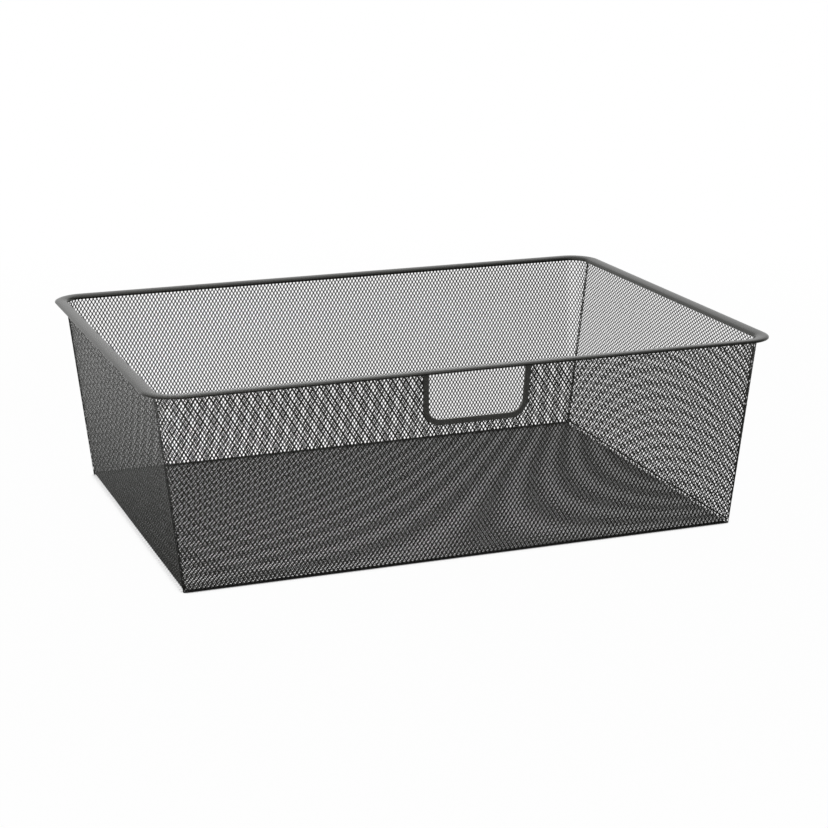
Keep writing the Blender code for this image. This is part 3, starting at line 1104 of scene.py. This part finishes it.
def soft_light(name, place, size, power):
    """A rectangular soft light that points at the basket."""
    light = bpy.data.lights.new(name, "AREA")
    light.shape = "RECTANGLE"
    light.size, light.size_y = size
    light.energy = power
    lamp = bpy.data.objects.new(name, light)
    bpy.context.scene.collection.objects.link(lamp)
    lamp.location = place
    lamp.rotation_mode = "QUATERNION"
    lamp.rotation_quaternion = (Vector(AIM) - Vector(place)).to_track_quat("-Z", "Y")


def photograph_camera():
    """The camera at the photograph's place, angle and field of view."""
    camera = bpy.data.cameras.new("photograph")
    camera.sensor_width = SENSOR_WIDTH
    camera.lens = FOCAL_PIXELS * SENSOR_WIDTH / IMAGE_SIDE
    camera.shift_x = SHIFT_PIXELS / IMAGE_SIDE
    camera.clip_start = NEAREST
    camera.clip_end = FARTHEST
    holder = bpy.data.objects.new("photograph", camera)
    bpy.context.scene.collection.objects.link(holder)
    forward = Vector(
        (
            sin(CAMERA_YAW) * cos(CAMERA_PITCH),
            cos(CAMERA_YAW) * cos(CAMERA_PITCH),
            -sin(CAMERA_PITCH),
        )
    )
    level = Vector((cos(CAMERA_YAW), -sin(CAMERA_YAW), 0))
    upright = level.cross(forward)
    right = cos(CAMERA_ROLL) * level + sin(CAMERA_ROLL) * upright
    up = -sin(CAMERA_ROLL) * level + cos(CAMERA_ROLL) * upright
    turn = Matrix((right, up, -forward)).transposed()
    holder.matrix_world = Matrix.Translation(CAMERA_PLACE) @ turn.to_4x4()
    bpy.context.scene.camera = holder


# Operators


class BASKET_OT_stage(Operator):
    """Sets the floor, the soft lights and the photograph's camera."""

    bl_idname = "basket.stage"
    bl_label = "Stage"

    def execute(self, context):
        light = context.scene.basket_light
        ground()
        surroundings(light.sky)
        soft_light("overhead_panel", OVERHEAD_PLACE, OVERHEAD_SIZE, light.overhead)
        soft_light("front_panel", FRONT_PLACE, FRONT_SIZE, light.front)
        photograph_camera()
        context.scene.view_settings.view_transform = "Standard"
        return {"FINISHED"}


class BASKET_OT_coats(Operator):
    """Makes the powder coats, and the edge coat of painted shade."""

    bl_idname = "basket.coats"
    bl_label = "Coats"

    def execute(self, context):
        coats = context.scene.basket_coats
        for name, finish in COATS.items():
            coat_material(f"{name}_coat", getattr(coats, f"{name}_colour"), *finish)
        return {"FINISHED"}


class BASKET_OT_end_panels(Operator):
    """Makes the front and back panels, wrapped round the tapering corners."""

    bl_idname = "basket.end_panels"
    bl_label = "Front and back panels"

    def execute(self, context):
        sizes = context.scene.basket_mesh
        coat = bpy.data.materials["mesh_coat"]
        net = sizes.front_short, sizes.front_long, sizes.strand
        end_panel("front", 0, *net, sizes, coat, True)
        net = sizes.back_short, sizes.back_long, sizes.back_strand
        end_panel("back", pi, *net, sizes, coat, False)
        return {"FINISHED"}


class BASKET_OT_tray(Operator):
    """Makes the side walls and the floor of the U-shaped sheet."""

    bl_idname = "basket.tray"
    bl_label = "Side walls and floor"

    def execute(self, context):
        sizes = context.scene.basket_mesh
        coat = bpy.data.materials["mesh_coat"]
        side_panel("right", QUARTER, sizes, coat)
        side_panel("left", -QUARTER, sizes, coat)
        floor_panel(sizes, coat)
        return {"FINISHED"}


class BASKET_OT_rim(Operator):
    """Makes the rolled rim."""

    bl_idname = "basket.rim"
    bl_label = "Rim"

    def execute(self, context):
        rolled_rim(bpy.data.materials["rim_coat"])
        return {"FINISHED"}


class BASKET_OT_trim(Operator):
    """Makes the trim of the hand cut-out."""

    bl_idname = "basket.trim"
    bl_label = "Trim"

    def execute(self, context):
        cut_out_trim(bpy.data.materials["trim_coat"])
        return {"FINISHED"}


class BASKET_PT_panel(Panel):
    """The basket's pieces in the sidebar."""

    bl_idname = "BASKET_PT_panel"
    bl_label = "Mesh drawer basket"
    bl_space_type = "VIEW_3D"
    bl_region_type = "UI"
    bl_category = "Basket"

    def draw(self, context):
        for settings in SETTINGS:
            group = getattr(context.scene, settings)
            for name in group.bl_rna.properties.keys():
                if name not in ("name", "rna_type"):
                    self.layout.prop(group, name)
        for maker in MAKERS:
            self.layout.operator(maker.bl_idname)


SETTINGS = {
    "basket_mesh": BasketMeshSizes,
    "basket_coats": BasketCoats,
    "basket_light": BasketLight,
}
MAKERS = (
    BASKET_OT_stage,
    BASKET_OT_coats,
    BASKET_OT_rim,
    BASKET_OT_trim,
    BASKET_OT_end_panels,
    BASKET_OT_tray,
)


def register():
    for kind in (*SETTINGS.values(), *MAKERS, BASKET_PT_panel):
        bpy.utils.register_class(kind)
    for name, kind in SETTINGS.items():
        setattr(bpy.types.Scene, name, PointerProperty(type=kind))


def unregister():
    for name in SETTINGS:
        delattr(bpy.types.Scene, name)
    for kind in (BASKET_PT_panel, *reversed(MAKERS), *reversed(SETTINGS.values())):
        bpy.utils.unregister_class(kind)


def main():
    """Makes all pieces."""
    register()
    bpy.ops.basket.stage()
    bpy.ops.basket.coats()
    bpy.ops.basket.rim()
    bpy.ops.basket.trim()
    bpy.ops.basket.end_panels()
    bpy.ops.basket.tray()


if __name__ == "__main__":
    main()
